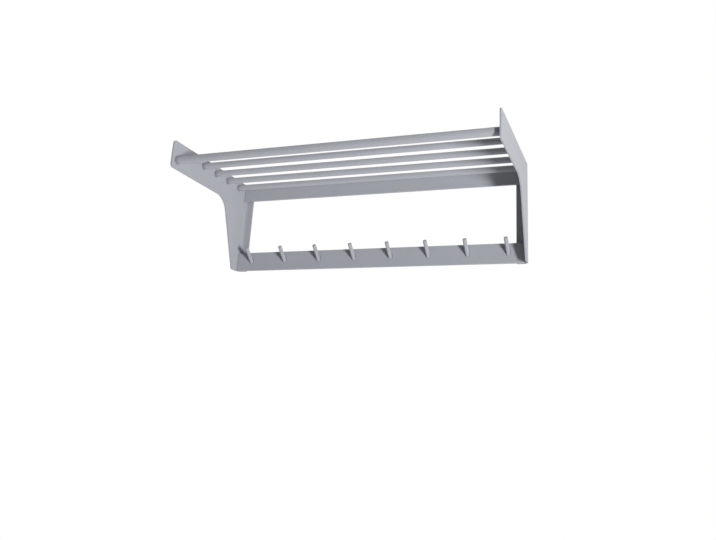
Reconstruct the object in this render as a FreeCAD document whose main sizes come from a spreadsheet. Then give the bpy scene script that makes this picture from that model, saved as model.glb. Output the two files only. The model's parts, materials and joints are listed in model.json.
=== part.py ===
"""Wall-mounted hat and coat rack in lacquered metal.

Two gables of bent sheet carry a shelf of four tubes, a hanger tube near the front edge and two rails of
flat bar, the lower one with eight slanting pegs.

Millimetres. +Z is up, +Y points into the wall and X runs along the rack. The wall plane is Y = 0, and the
origin lies on it, midway between the two wall-screw holes.
"""
import FreeCAD, Part
import Sketcher
import os

SHELF_TUBE_COUNT = 4
PEG_COUNT = 8
TOUCH = 0.01

# Driving dimensions, in millimetres and degrees.
SIZES = {
    # the whole rack
    "overall_width": 651,
    "depth": 290,
    "height": 203.5,
    # gables: an arm above a leg that tapers towards the wall, with a flange bent along the wall
    "sheet": 3,
    "bend_radius": 9,
    "flange_width": 24,
    "arm_height": 56.5,
    "arm_corner": 7,
    "leg_depth": 90,
    "foot_depth": 30,
    "throat_radius": 42,
    "foot_corner": 5,
    # rails of flat bar in front of the flanges, the lower one just clear of the gables' lower ends
    "rail_height": 40.5,
    "rail_thickness": 6,
    "rail_corner": 0.8,
    "rail_lift": 0.4,
    "rail_end_gap": 0.2,
    # shelf tubes, level with each other, counted from the wall
    "tube_diameter": 12.7,
    "tube_wall": 1.2,
    "tube_pitch": 48,
    "tube_drop": 17,
    "back_tube_distance": 38,
    # hanger tube, lower than the shelf and near the front edge
    "hanger_diameter": 15.6,
    "hanger_wall": 1.5,
    "hanger_drop": 37.7,
    "hanger_setback": 17,
    # spigots on the gables, inside the tube ends
    "spigot_length": 12,
    "spigot_clearance": 0.15,
    # pegs, set through the lower rail and cut flush behind it
    "peg_diameter": 8,
    "peg_length": 37,
    "peg_angle": 42,
    "peg_end_margin": 36.1,
    "peg_tip_bevel": 0.5,
    "peg_hole_clearance": 0.15,
    # countersunk wall-screw holes, through the upper rail and the flanges
    "wall_hole_diameter": 5.5,
    "wall_hole_head": 9.5,
    "wall_hole_drop": 6.5,
    "wall_hole_inset": 17.5,
}

# Places that several pieces share, as expressions of the driving dimensions.
INNER_WIDTH = "(sizes.overall_width - 2 * sizes.sheet)"
RAIL_FRONT = "(-sizes.sheet - sizes.rail_thickness)"
UPPER_RAIL_AXIS = "(sizes.wall_hole_drop - sizes.rail_height / 2)"
LOWER_RAIL_AXIS = "(sizes.wall_hole_drop - sizes.height + sizes.rail_lift + sizes.rail_height / 2)"
RAIL_BACK_END = f"({INNER_WIDTH} / 2 - sizes.bend_radius - sizes.rail_end_gap)"
BEND_RUN = "sqrt(sizes.bend_radius ^ 2 - (sizes.bend_radius - sizes.rail_thickness) ^ 2)"
RAIL_FRONT_END = f"({RAIL_BACK_END} + {BEND_RUN})"
PEG_ROW = f"({INNER_WIDTH} - 2 * sizes.peg_end_margin)"
PEG_TILT = "(90 - sizes.peg_angle)"
HOLE_OFFSET = "(sizes.overall_width / 2 - sizes.wall_hole_inset)"

doc = FreeCAD.newDocument("hat_rack")
sheet = doc.addObject("Spreadsheet::Sheet", "sizes")
for row, (alias, size) in enumerate(SIZES.items(), start=1):
    sheet.set(f"A{row}", alias)
    sheet.set(f"B{row}", str(size))
    sheet.setAlias(f"B{row}", alias)
doc.recompute()


def value(expression):
    """Works out an expression of the driving dimensions."""
    return float(sheet.evalExpression(expression))


def place(piece, x="0", y="0", z="0"):
    """Ties a piece's position to expressions."""
    for axis, expression in zip("xyz", (x, y, z)):
        piece.setExpression(f"Placement.Base.{axis}", expression)


def new_body(label):
    """Starts an empty body under the name of its piece."""
    body = doc.addObject("PartDesign::Body", label)
    body.Label = label
    return body


def new_sketch(body, name, plane):
    """Starts a sketch on one of the body's own origin planes."""
    sketch = body.newObject("Sketcher::SketchObject", name)
    origin_plane = next(f for f in body.Origin.OriginFeatures if f.Role == plane)
    sketch.AttachmentSupport = [(origin_plane, "")]
    sketch.MapMode = "FlatFace"
    return sketch


def locate(sketch, geometry, point, name, x, y):
    """Ties one point of a sketch to expressions for its distance from the sketch's origin."""
    for kind, expression in (("DistanceX", x), ("DistanceY", y)):
        index = sketch.addConstraint(Sketcher.Constraint(kind, -1, 1, geometry, point, value(expression)))
        constraint = f"{name}_{kind[-1].lower()}"
        sketch.renameConstraint(index, constraint)
        sketch.setExpression(f"Constraints.{constraint}", expression)


def draw_polygon(sketch, corners):
    """Draws a closed outline of straight sides through corners given as pairs of expressions."""
    points = [FreeCAD.Vector(value(x), value(y), 0) for x, y in corners]
    ends = points[1:] + points[:1]
    for start, end in zip(points, ends):
        sketch.addGeometry(Part.LineSegment(start, end), False)
    for side in range(len(corners)):
        sketch.addConstraint(Sketcher.Constraint("Coincident", side, 2, (side + 1) % len(corners), 1))
    for side, (x, y) in enumerate(corners):
        locate(sketch, side, 1, f"corner{side}", x, y)


def draw_circle(sketch, name, diameter, x="0", y="0"):
    """Draws a circle whose diameter and centre are expressions."""
    centre = FreeCAD.Vector(value(x), value(y), 0)
    circle = sketch.addGeometry(Part.Circle(centre, FreeCAD.Vector(0, 0, 1), value(diameter) / 2), False)
    index = sketch.addConstraint(Sketcher.Constraint("Diameter", circle, value(diameter)))
    sketch.renameConstraint(index, f"{name}_diameter")
    sketch.setExpression(f"Constraints.{name}_diameter", diameter)
    locate(sketch, circle, 3, name, x, y)


def pad(body, name, sketch, length, backwards=False, both_ways=False):
    """Raises a sketch to a solid of the given length."""
    feature = body.newObject("PartDesign::Pad", name)
    feature.Profile = sketch
    feature.Reversed = backwards
    if both_ways:
        feature.SideType = "Symmetric"
    feature.setExpression("Length", length)
    doc.recompute()
    return feature


def pocket(body, name, sketch):
    """Cuts a sketch right through the body, to both sides of its plane."""
    before = body.Shape.Volume
    feature = body.newObject("PartDesign::Pocket", name)
    feature.Profile = sketch
    feature.SideType = "Symmetric"
    feature.Type = "ThroughAll"
    doc.recompute()
    if not body.Shape.Volume < before:
        raise RuntimeError(f"{body.Label}: {name} cuts nothing")
    return feature


def edges_where(feature, test):
    """Names the edges of a feature whose every vertex passes a test."""
    edges = feature.Shape.Edges
    found = [f"Edge{n}" for n, edge in enumerate(edges, start=1) if all(test(v.Point) for v in edge.Vertexes)]
    if not found:
        raise RuntimeError(f"{feature.Label}: no such edge")
    return found


def dress(body, kind, name, base, edges, prop, expression):
    """Rounds or bevels the named edges of a feature."""
    feature = body.newObject(f"PartDesign::{kind}", name)
    feature.Base = (base, edges)
    feature.setExpression(prop, expression)
    doc.recompute()
    return feature


def near(first, second):
    """Tells whether two coordinates are the same."""
    return abs(first - second) < TOUCH


def runs_along_x(edge):
    """Tells whether an edge keeps its place in the side view."""
    start, end = (vertex.Point for vertex in edge.Vertexes)
    return near(start.y, end.y) and near(start.z, end.z)


def along_x(y, z):
    """Gives a test for the edges that run along X at a place of the side view."""
    return lambda point: near(point.y, value(y)) and near(point.z, value(z))


def gable(label, inward):
    """Bent-sheet end: the plan section with its bend, raised to full height and trimmed to the side outline.

    Its own origin is on the wall, at the outer face and the top edge. inward is 1 where the rack lies on the
    +X side of the gable and -1 where it lies on the other side.
    """
    body = new_body(label)

    plan = new_sketch(body, f"{label}_plan", "XY_Plane")
    face = f"({inward} * sizes.sheet)"
    lip = f"({inward} * sizes.flange_width)"
    draw_polygon(plan, [
        ("0", "0"),
        (lip, "0"),
        (lip, "-sizes.sheet"),
        (face, "-sizes.sheet"),
        (face, "-sizes.depth"),
        ("0", "-sizes.depth"),
    ])
    blank = pad(body, f"{label}_blank", plan, "sizes.height", backwards=True)

    inner_bend = edges_where(blank, lambda p: near(p.x, value(face)) and near(p.y, value("-sizes.sheet")))
    bend = dress(body, "Fillet", f"{label}_bend", blank, inner_bend, "Radius", "sizes.bend_radius")
    outer_bend = edges_where(bend, lambda p: near(p.x, 0) and near(p.y, 0))
    dress(body, "Fillet", f"{label}_back", bend, outer_bend, "Radius", "sizes.bend_radius + sizes.sheet")

    side = new_sketch(body, f"{label}_side", "YZ_Plane")
    draw_polygon(side, [
        ("-2 * sizes.depth", "-sizes.arm_height"),
        ("-sizes.leg_depth", "-sizes.arm_height"),
        ("-sizes.foot_depth", "-sizes.height"),
        ("-sizes.foot_depth", "-2 * sizes.height"),
        ("-2 * sizes.depth", "-2 * sizes.height"),
    ])
    outline = pocket(body, f"{label}_outline", side)

    rounds = (
        ("throat", "-sizes.leg_depth", "-sizes.arm_height", "sizes.throat_radius"),
        ("arm_top", "-sizes.depth", "0", "sizes.arm_corner"),
        ("arm_nose", "-sizes.depth", "-sizes.arm_height", "sizes.arm_corner"),
        ("foot", "-sizes.foot_depth", "-sizes.height", "sizes.foot_corner"),
    )
    for name, y, z, radius in rounds:
        corner = edges_where(outline, along_x(y, z))
        outline = dress(body, "Fillet", f"{label}_{name}", outline, corner, "Radius", radius)

    hole = new_sketch(body, f"{label}_hole_centre", "XZ_Plane")
    inset = f"{inward} * sizes.wall_hole_inset"
    draw_circle(hole, "wall_hole", "sizes.wall_hole_diameter", inset, "-sizes.wall_hole_drop")
    pocket(body, f"{label}_wall_hole", hole)
    place(body, x=f"{-inward} * sizes.overall_width / 2", z="sizes.wall_hole_drop")
    return body


def tube(label, diameter, wall, y, z):
    """Round tube from gable to gable."""
    body = new_body(label)
    section = new_sketch(body, f"{label}_section", "YZ_Plane")
    draw_circle(section, "outside", diameter)
    draw_circle(section, "bore", f"{diameter} - 2 * {wall}")
    pad(body, f"{label}_length", section, INNER_WIDTH)
    place(body, x=f"-{INNER_WIDTH} / 2", y=y, z=z)
    return body


def spigots(label, diameter, wall, seats):
    """Turned plugs on the gables' inner faces, one in each end of every tube whose axis is listed."""
    plugs = []
    for number, (y, z) in enumerate(seats, start=1):
        starts = (("left", f"-{INNER_WIDTH} / 2"), ("right", f"{INNER_WIDTH} / 2 - sizes.spigot_length"))
        for side, x in starts:
            plug = doc.addObject("Part::Cylinder", f"{label}_{side}_{number}")
            plug.setExpression("Radius", f"{diameter} / 2 - {wall} - sizes.spigot_clearance")
            plug.setExpression("Height", "sizes.spigot_length")
            plug.Placement.Rotation = FreeCAD.Rotation(FreeCAD.Vector(0, 1, 0), 90)
            place(plug, x, y, z)
            plugs.append(plug)
    group = doc.addObject("Part::Compound", label)
    group.Label = label
    group.Links = plugs
    return group


def rail(label, axis):
    """Flat bar from gable to gable, lying on the flanges, its ends bevelled to clear the gables' bends.

    Its own origin is in the middle of its front face.
    """
    body = new_body(label)
    plan = new_sketch(body, f"{label}_plan", "XY_Plane")
    draw_polygon(plan, [
        (f"-{RAIL_FRONT_END}", "0"),
        (RAIL_FRONT_END, "0"),
        (RAIL_BACK_END, "sizes.rail_thickness"),
        (f"-{RAIL_BACK_END}", "sizes.rail_thickness"),
    ])
    bar = pad(body, f"{label}_bar", plan, "sizes.rail_height", both_ways=True)
    numbered = enumerate(bar.Shape.Edges, start=1)
    long_edges = [f"Edge{n}" for n, edge in numbered if runs_along_x(edge)]
    dress(body, "Fillet", f"{label}_eased", bar, long_edges, "Radius", "sizes.rail_corner")
    place(body, y=RAIL_FRONT, z=axis)
    return body


def upper_rail():
    """Rail behind the shelf, with the countersunk wall-screw holes close to its top edge."""
    body = rail("upper_rail", UPPER_RAIL_AXIS)
    centres = new_sketch(body, "wall_hole_centres", "XZ_Plane")
    drop = "sizes.rail_height / 2 - sizes.wall_hole_drop"
    for side, x in (("left", f"-{HOLE_OFFSET}"), ("right", HOLE_OFFSET)):
        draw_circle(centres, f"wall_hole_{side}", "sizes.wall_hole_diameter", x, drop)
    holes = pocket(body, "wall_holes", centres)

    def on_hole_rim(point):
        return near(point.y, 0) and abs(point.x) < value(RAIL_FRONT_END) - TOUCH

    rims = edges_where(holes, on_hole_rim)
    sink = "(sizes.wall_hole_head - sizes.wall_hole_diameter) / 2"
    dress(body, "Chamfer", "wall_hole_sinks", holes, rims, "Size", sink)
    return body


def lower_rail():
    """Rail with a row of slanting holes along its middle, one for each peg."""
    body = rail("lower_rail", LOWER_RAIL_AXIS)
    seat = new_sketch(body, "peg_hole_centre", "XY_Plane")
    seat.AttachmentOffset.Rotation = FreeCAD.Rotation(FreeCAD.Vector(1, 0, 0), value(PEG_TILT))
    seat.setExpression("AttachmentOffset.Rotation.Angle", PEG_TILT)
    draw_circle(seat, "peg_hole", "sizes.peg_diameter + 2 * sizes.peg_hole_clearance", f"-{PEG_ROW} / 2")
    first = pocket(body, "peg_hole", seat)
    row = body.newObject("PartDesign::LinearPattern", "peg_holes")
    row.Originals = [first]
    row.Direction = (next(f for f in body.Origin.OriginFeatures if f.Role == "X_Axis"), [""])
    row.setExpression("Length", PEG_ROW)
    row.Occurrences = PEG_COUNT
    body.Tip = row
    return body


def peg(number):
    """Slanting rod with a bevelled tip, cut flush with the back of the lower rail.

    Its own origin is where its axis leaves the rail's front face, and its own Z runs towards the tip.
    """
    label = f"peg_{number}"
    body = new_body(label)
    root = "(sizes.rail_thickness + sizes.peg_diameter) / sin(sizes.peg_angle)"
    section = new_sketch(body, f"{label}_section", "XY_Plane")
    section.setExpression("AttachmentOffset.Base.z", f"-{root}")
    draw_circle(section, "outside", "sizes.peg_diameter")
    rod = pad(body, f"{label}_rod", section, f"sizes.peg_length + {root}")
    tip = edges_where(rod, lambda p: near(p.z, value("sizes.peg_length")))
    dress(body, "Chamfer", f"{label}_tip", rod, tip, "Size", "sizes.peg_tip_bevel")

    back = new_sketch(body, f"{label}_back", "YZ_Plane")
    reach = "sizes.peg_diameter"

    def back_of_rail(y):
        return f"({y} * cos({PEG_TILT}) - sizes.rail_thickness) / sin({PEG_TILT})"

    draw_polygon(back, [
        (f"-{reach}", back_of_rail(f"-{reach}")),
        (reach, back_of_rail(reach)),
        (reach, f"-4 * {root}"),
        (f"-{reach}", f"-4 * {root}"),
    ])
    pocket(body, f"{label}_flush_cut", back)
    body.Placement.Rotation = FreeCAD.Rotation(FreeCAD.Vector(1, 0, 0), value(PEG_TILT))
    body.setExpression("Placement.Rotation.Angle", PEG_TILT)
    step = f"{PEG_ROW} / {PEG_COUNT - 1}"
    place(body, f"{number - 1} * {step} - {PEG_ROW} / 2", RAIL_FRONT, LOWER_RAIL_AXIS)
    return body


def shelf_seat(number):
    """Axis of a shelf tube in the side view, the first tube being the one nearest the wall."""
    return (
        f"-sizes.back_tube_distance - {number - 1} * sizes.tube_pitch",
        "sizes.wall_hole_drop - sizes.tube_drop",
    )


shelf_seats = [shelf_seat(number) for number in range(1, SHELF_TUBE_COUNT + 1)]
hanger_seat = ("sizes.hanger_setback - sizes.depth", "sizes.wall_hole_drop - sizes.hanger_drop")

pieces = [gable("left_gable", 1), gable("right_gable", -1), upper_rail(), lower_rail()]
for number, (y, z) in enumerate(shelf_seats, start=1):
    pieces.append(tube(f"shelf_tube_{number}", "sizes.tube_diameter", "sizes.tube_wall", y, z))
pieces.append(tube("hanger_tube", "sizes.hanger_diameter", "sizes.hanger_wall", *hanger_seat))
pieces.append(spigots("shelf_tube_spigots", "sizes.tube_diameter", "sizes.tube_wall", shelf_seats))
pieces.append(spigots("hanger_tube_spigots", "sizes.hanger_diameter", "sizes.hanger_wall", [hanger_seat]))
pieces += [peg(number) for number in range(1, PEG_COUNT + 1)]
doc.recompute()

for item in doc.Objects:
    if "Invalid" in item.State or "Error" in item.State:
        raise RuntimeError(f"{item.Label}: {item.State}")
for piece in pieces:
    if piece.Shape.isNull() or not piece.Shape.isValid():
        raise RuntimeError(f"{piece.Label}: no valid shape")

os.makedirs("parts", exist_ok=True)
for piece in pieces:
    piece.Shape.exportStep(f"parts/{piece.Label}.step")
    box = piece.Shape.BoundBox
    corners = [round(c, 2) for c in (box.XMin, box.YMin, box.ZMin, box.XMax, box.YMax, box.ZMax)]
    print(piece.Label, len(piece.Shape.Solids), round(piece.Shape.Volume, 1), corners)
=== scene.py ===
"""Looks of the wall-mounted hat and coat rack.

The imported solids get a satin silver-grey lacquer, and are lit and seen as in the photograph.
Lengths are in metres.
"""
import json
import math

import bpy
from mathutils import Euler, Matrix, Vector


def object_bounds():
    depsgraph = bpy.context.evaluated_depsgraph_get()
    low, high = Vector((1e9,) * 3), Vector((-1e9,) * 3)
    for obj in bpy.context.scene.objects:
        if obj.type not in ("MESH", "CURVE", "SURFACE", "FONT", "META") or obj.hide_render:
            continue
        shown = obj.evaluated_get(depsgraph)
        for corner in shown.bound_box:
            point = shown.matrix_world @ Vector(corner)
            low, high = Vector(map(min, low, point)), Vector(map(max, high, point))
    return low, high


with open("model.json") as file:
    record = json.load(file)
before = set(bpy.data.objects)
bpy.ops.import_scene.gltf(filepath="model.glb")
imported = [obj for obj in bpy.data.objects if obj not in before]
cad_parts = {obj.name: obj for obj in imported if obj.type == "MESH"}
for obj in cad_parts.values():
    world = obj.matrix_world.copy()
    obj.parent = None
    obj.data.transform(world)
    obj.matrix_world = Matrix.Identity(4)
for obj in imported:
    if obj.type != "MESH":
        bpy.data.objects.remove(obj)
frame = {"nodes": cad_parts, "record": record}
cad_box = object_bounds()
nodes = frame["nodes"]

MM = 0.001
UNIT = (0.0, 1.0)
WHITE = (1.0, 1.0, 1.0)

# Camera, fitted to the photograph's straight edges in its 716 x 540 frame.
FRAME_WIDTH_PX = 716
FRAME_HEIGHT_PX = 540
FOCAL_LENGTH_PX = 731.8
PRINCIPAL_POINT_PX = (376.2, 210.0)
CAMERA_PLACE = Vector((0.5381, -1.4070, -0.5294))
CAMERA_TURN_DEG = (107.023, -3.010, 19.986)
SENSOR_MM = 36.0

# Key light. It stands to the right of the camera and lower than the rack, as the shadows of the pegs
# and the right arm show.
KEY_AZIMUTH_DEG = 48.0
KEY_ELEVATION_DEG = -18.0
KEY_DISTANCE = 2.0
KEY_WIDTH = 0.18
KEY_HEIGHT = 0.50
KEY_POWER = 24.4

# Brightness of the room on its low and high side along an axis. Its ends along X are dark.
ROOM_Y = (0.0, 1.0)
ROOM_Z = (1.0, 1.0)

# Floor.
FLOOR_DROP = 1.5
FLOOR_RADIUS = 6.0
FLOOR_SIDES = 96
FLOOR_TONES = (0.80, 0.84)
FLOOR_SPECKLE = 8 * MM
FLOOR_ROUGHNESS = 0.9

# Lacquer: its tone and gloss.
LACQUER_GREY = (0.291, 0.299, 0.329)
TUBE_TONE = 1.05
MATTNESS = 0.5
GLOSS_ROUGHNESS = (0.46, 0.54)
LACQUER_IOR = 1.5

# Lacquer: flake, mottle and relief. A range is the part of the noise that spans the whole effect.
FLAKE_WIDTH = 0.35 * MM
FLAKE_RANGE = (0.35, 0.65)
FLAKE_CONTRAST = 0.05
MOTTLE_WIDTH = 60 * MM
MOTTLE_RANGE = (0.3, 0.7)
MOTTLE_DARKEST = 0.975
PEEL_WIDTH = 1.6 * MM
PEEL_SHARE = 0.7
GRAIN_WIDTH = 0.30 * MM
RELIEF_STRENGTH = 0.12
RELIEF_DEPTH = 0.05 * MM

# Lacquer: rounded and rubbed edges, and painted shade where pieces meet, which reaches further along the
# tubes.
EDGE_ROUND = 0.5 * MM
EDGE_SAMPLES = 6
WEAR_WIDTH = 0.8 * MM
WEAR_LEAN = (0.97, 0.8)
WEAR_PATCH = 5 * MM
WEAR_RANGE = (0.35, 0.6)
WEAR_TONE = 1.12
PAINTED_SHADE_REACH = 3 * MM
TUBE_PAINTED_SHADE_REACH = 12 * MM
PAINTED_SHADE_SAMPLES = 8
PAINTED_SHADE_RANGE = (0.4, 0.95)
PAINTED_SHADE_DARKEST = 0.5

# Bare steel of the spigots, with turning marks about 0.6 mm apart.
STEEL_DARK = (0.5, 0.5, 0.51)
STEEL_LIGHT = (0.58, 0.58, 0.59)
STEEL_ROUGHNESS = (0.3, 0.42)
MARK_SCALE = 500.0
MARK_DISTORTION = 0.4
MARK_STRENGTH = 0.2
MARK_DEPTH = 0.02 * MM

# Detail of the noise, in octaves.
FINE = 1.0
MEDIUM = 1.5
BROAD = 3.0


class Graph:
    """Builds a node tree in short calls."""

    def __init__(self, tree):
        self.tree = tree

    def add(self, kind, inputs=None, **settings):
        """Adds a node, sets its properties and fills its inputs with values or links."""
        node = self.tree.nodes.new(kind)
        for key, setting in settings.items():
            setattr(node, key, setting)
        for key, source in (inputs or {}).items():
            self.feed(node.inputs[key], source)
        return node

    def feed(self, socket, source):
        """Links a node's output to a socket, or sets the socket's value."""
        if isinstance(source, bpy.types.NodeSocket):
            self.tree.links.new(source, socket)
        else:
            socket.default_value = source

    def noise(self, wavelength, detail):
        """Noise whose features are about one wavelength across."""
        place = self.add("ShaderNodeTexCoord").outputs["Object"]
        settings = {"Vector": place, "Scale": 1 / wavelength, "Detail": detail}
        return self.add("ShaderNodeTexNoise", settings).outputs["Fac"]

    def remap(self, source, span, to_span=UNIT):
        """Carries a range of values onto another."""
        settings = {
            "Value": source,
            "From Min": span[0], "From Max": span[1],
            "To Min": to_span[0], "To Max": to_span[1],
        }
        return self.add("ShaderNodeMapRange", settings).outputs["Result"]

    def maths(self, operation, first, second):
        """Joins two values by one operation."""
        return self.add("ShaderNodeMath", {0: first, 1: second}, operation=operation).outputs[0]

    def blend(self, share, first, second):
        """Mixes two colours."""
        inputs = {"Factor": share, "A": first, "B": second}
        return self.add("ShaderNodeMix", inputs, data_type="RGBA").outputs["Result"]

    def rounded_normal(self, radius):
        """Normal of the surface with its edges rounded off."""
        return self.add("ShaderNodeBevel", {"Radius": radius}, samples=EDGE_SAMPLES).outputs["Normal"]


def rgba(colour, scale=1.0):
    """A colour with full opacity, lightened or darkened by a factor."""
    return tuple(channel * scale for channel in colour) + (1.0,)


def new_material(name):
    """A new material, with its graph and its shader."""
    material = bpy.data.materials.new(name)
    material.use_nodes = True
    return material, Graph(material.node_tree), material.node_tree.nodes["Principled BSDF"]


def edge_wear(graph):
    """Share of wear: patches along the edges, where a rounded normal leans away from the face's own."""
    own = graph.add("ShaderNodeNewGeometry").outputs["True Normal"]
    normals = {0: own, 1: graph.rounded_normal(WEAR_WIDTH)}
    lean = graph.add("ShaderNodeVectorMath", normals, operation="DOT_PRODUCT").outputs["Value"]
    patches = graph.remap(graph.noise(WEAR_PATCH, BROAD), WEAR_RANGE)
    return graph.maths("MULTIPLY", graph.remap(lean, WEAR_LEAN), patches)


def painted_joint_shade(graph, reach):
    """Painted shade: the lacquer darkened in the narrow corners where pieces meet, where shade falls."""
    near = graph.add("ShaderNodeAmbientOcclusion", {"Distance": reach}, samples=PAINTED_SHADE_SAMPLES)
    return graph.remap(near.outputs["AO"], PAINTED_SHADE_RANGE, (PAINTED_SHADE_DARKEST, 1.0))


def lacquer_colour(graph, mottle, tone, reach):
    """Flaked grey, lighter where the edges are rubbed, darker in the mottle, and with painted shade in the
    joints.
    """
    flake = graph.remap(graph.noise(FLAKE_WIDTH, FINE), FLAKE_RANGE)
    dark = rgba(LACQUER_GREY, tone - FLAKE_CONTRAST)
    light = rgba(LACQUER_GREY, tone + FLAKE_CONTRAST)
    rubbed = rgba(LACQUER_GREY, tone * WEAR_TONE)
    worn = graph.blend(edge_wear(graph), graph.blend(flake, dark, light), rubbed)
    broad = graph.remap(mottle, UNIT, (MOTTLE_DARKEST, 1.0))
    # The mottle and the painted shade in the joints darken the grey.
    shade = graph.maths("MULTIPLY", broad, painted_joint_shade(graph, reach))
    return graph.add("ShaderNodeVectorMath", {0: worn, "Scale": shade}, operation="SCALE").outputs["Vector"]


def lacquer_relief(graph):
    """Normal of the lacquer: orange peel and fine grain over rounded edges."""
    peel = graph.maths("MULTIPLY", graph.noise(PEEL_WIDTH, MEDIUM), PEEL_SHARE)
    grain = graph.maths("MULTIPLY", graph.noise(GRAIN_WIDTH, FINE), 1 - PEEL_SHARE)
    bump = graph.add("ShaderNodeBump", {
        "Height": graph.maths("ADD", peel, grain),
        "Strength": RELIEF_STRENGTH,
        "Distance": RELIEF_DEPTH,
        "Normal": graph.rounded_normal(EDGE_ROUND),
    })
    return bump.outputs["Normal"]


def satin_lacquer(name, tone=1.0, reach=PAINTED_SHADE_REACH):
    """Silver-grey satin lacquer."""
    material, graph, shader = new_material(name)
    mottle = graph.remap(graph.noise(MOTTLE_WIDTH, BROAD), MOTTLE_RANGE)
    graph.feed(shader.inputs["Base Color"], lacquer_colour(graph, mottle, tone, reach))
    graph.feed(shader.inputs["Roughness"], graph.remap(mottle, UNIT, GLOSS_ROUGHNESS))
    graph.feed(shader.inputs["Normal"], lacquer_relief(graph))
    shader.inputs["IOR"].default_value = LACQUER_IOR
    shader.inputs["Diffuse Roughness"].default_value = MATTNESS
    return material


def turned_steel(name):
    """Bare steel with fine turning marks round its axis, which runs along X."""
    material, graph, shader = new_material(name)
    place = graph.add("ShaderNodeTexCoord").outputs["Object"]
    settings = {"Vector": place, "Scale": MARK_SCALE, "Distortion": MARK_DISTORTION}
    marks = graph.add("ShaderNodeTexWave", settings, bands_direction="X").outputs["Fac"]
    relief = {"Height": marks, "Strength": MARK_STRENGTH, "Distance": MARK_DEPTH}
    graph.feed(shader.inputs["Base Color"], graph.blend(marks, rgba(STEEL_DARK), rgba(STEEL_LIGHT)))
    graph.feed(shader.inputs["Roughness"], graph.remap(marks, UNIT, STEEL_ROUGHNESS))
    graph.feed(shader.inputs["Normal"], graph.add("ShaderNodeBump", relief).outputs["Normal"])
    shader.inputs["Metallic"].default_value = 1.0
    return material


def paint_rack():
    """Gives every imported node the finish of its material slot."""
    finishes = {
        "gable_lacquer": satin_lacquer("gable_lacquer"),
        "rail_lacquer": satin_lacquer("rail_lacquer"),
        # On the tubes the painted shade of the joints reaches further along from their ends.
        "tube_lacquer": satin_lacquer("tube_lacquer", TUBE_TONE, TUBE_PAINTED_SHADE_REACH),
        "peg_lacquer": satin_lacquer("peg_lacquer"),
        "spigot_steel": turned_steel("spigot_steel"),
    }
    for part in frame["record"]["subparts"]:
        materials = nodes[part["node"]].data.materials
        materials.clear()
        materials.append(finishes[part["material_slot"]])


def make_floor():
    """Plain pale floor, well below the rack."""
    low, high = (Vector(corner) for corner in cad_box)
    bpy.ops.mesh.primitive_circle_add(vertices=FLOOR_SIDES, radius=FLOOR_RADIUS, fill_type="NGON")
    floor = bpy.context.object
    floor.name = "floor"
    floor.location = ((low.x + high.x) / 2, (low.y + high.y) / 2, low.z - FLOOR_DROP)
    material, graph, shader = new_material("pale_floor")
    dark, light = (rgba(WHITE, tone) for tone in FLOOR_TONES)
    graph.feed(shader.inputs["Base Color"], graph.blend(graph.noise(FLOOR_SPECKLE, BROAD), dark, light))
    shader.inputs["Roughness"].default_value = FLOOR_ROUGHNESS
    floor.data.materials.append(material)


def make_key():
    """One tall, narrow soft box, turned to the rack, whose light fades in step with the distance."""
    data = bpy.data.lights.new("key", "AREA")
    data.energy = KEY_POWER
    data.shape = "RECTANGLE"
    data.size = KEY_WIDTH
    data.size_y = KEY_HEIGHT
    data.use_nodes = True
    graph = Graph(data.node_tree)
    fade = graph.add("ShaderNodeLightFalloff", {"Strength": 1.0})
    graph.feed(data.node_tree.nodes["Emission"].inputs["Strength"], fade.outputs["Linear"])
    key = bpy.data.objects.new("key", data)
    bpy.context.scene.collection.objects.link(key)
    azimuth, elevation = math.radians(KEY_AZIMUTH_DEG), math.radians(KEY_ELEVATION_DEG)
    across = math.cos(elevation)
    direction = Vector((across * math.sin(azimuth), -across * math.cos(azimuth), math.sin(elevation)))
    key.location = direction * KEY_DISTANCE
    key.rotation_euler = direction.to_track_quat("Z", "Y").to_euler()


def room_strength(graph):
    """Brightness of the room in a direction, whose squared parts along the axes weigh the room's sides."""
    place = graph.add("ShaderNodeTexCoord").outputs["Generated"]
    split = graph.add("ShaderNodeSeparateXYZ", {"Vector": place})
    strength = 0.0
    for axis, sides in (("Y", ROOM_Y), ("Z", ROOM_Z)):
        part = split.outputs[axis]
        glow = graph.remap(graph.maths("GREATER_THAN", part, 0.0), UNIT, sides)
        share = graph.maths("MULTIPLY", graph.maths("MULTIPLY", part, part), glow)
        strength = graph.maths("ADD", share, strength)
    return strength


def make_room():
    """Pale room whose sides differ in brightness, and a white backdrop for the camera."""
    world = bpy.data.worlds.new("studio")
    bpy.context.scene.world = world
    world.use_nodes = True
    graph = Graph(world.node_tree)
    room = world.node_tree.nodes["Background"]
    graph.feed(room.inputs["Strength"], room_strength(graph))
    graph.feed(room.inputs["Color"], rgba(WHITE))
    backdrop = graph.add("ShaderNodeBackground", {"Color": rgba(WHITE)})
    seen = graph.add("ShaderNodeLightPath").outputs["Is Camera Ray"]
    views = {0: seen, 1: room.outputs["Background"], 2: backdrop.outputs["Background"]}
    either = graph.add("ShaderNodeMixShader", views)
    graph.feed(world.node_tree.nodes["World Output"].inputs["Surface"], either.outputs["Shader"])


def make_camera():
    """Camera at the photograph's viewing angle."""
    data = bpy.data.cameras.new("camera")
    data.sensor_width = SENSOR_MM
    data.lens = FOCAL_LENGTH_PX * SENSOR_MM / FRAME_WIDTH_PX
    data.shift_x = (FRAME_WIDTH_PX / 2 - PRINCIPAL_POINT_PX[0]) / FRAME_WIDTH_PX
    data.shift_y = (PRINCIPAL_POINT_PX[1] - FRAME_HEIGHT_PX / 2) / FRAME_WIDTH_PX
    camera = bpy.data.objects.new("camera", data)
    bpy.context.scene.collection.objects.link(camera)
    camera.location = CAMERA_PLACE
    camera.rotation_euler = Euler([math.radians(turn) for turn in CAMERA_TURN_DEG], "XYZ")
    bpy.context.scene.camera = camera


paint_rack()
make_floor()
make_key()
make_room()
make_camera()
bpy.context.scene.view_settings.view_transform = "Standard"
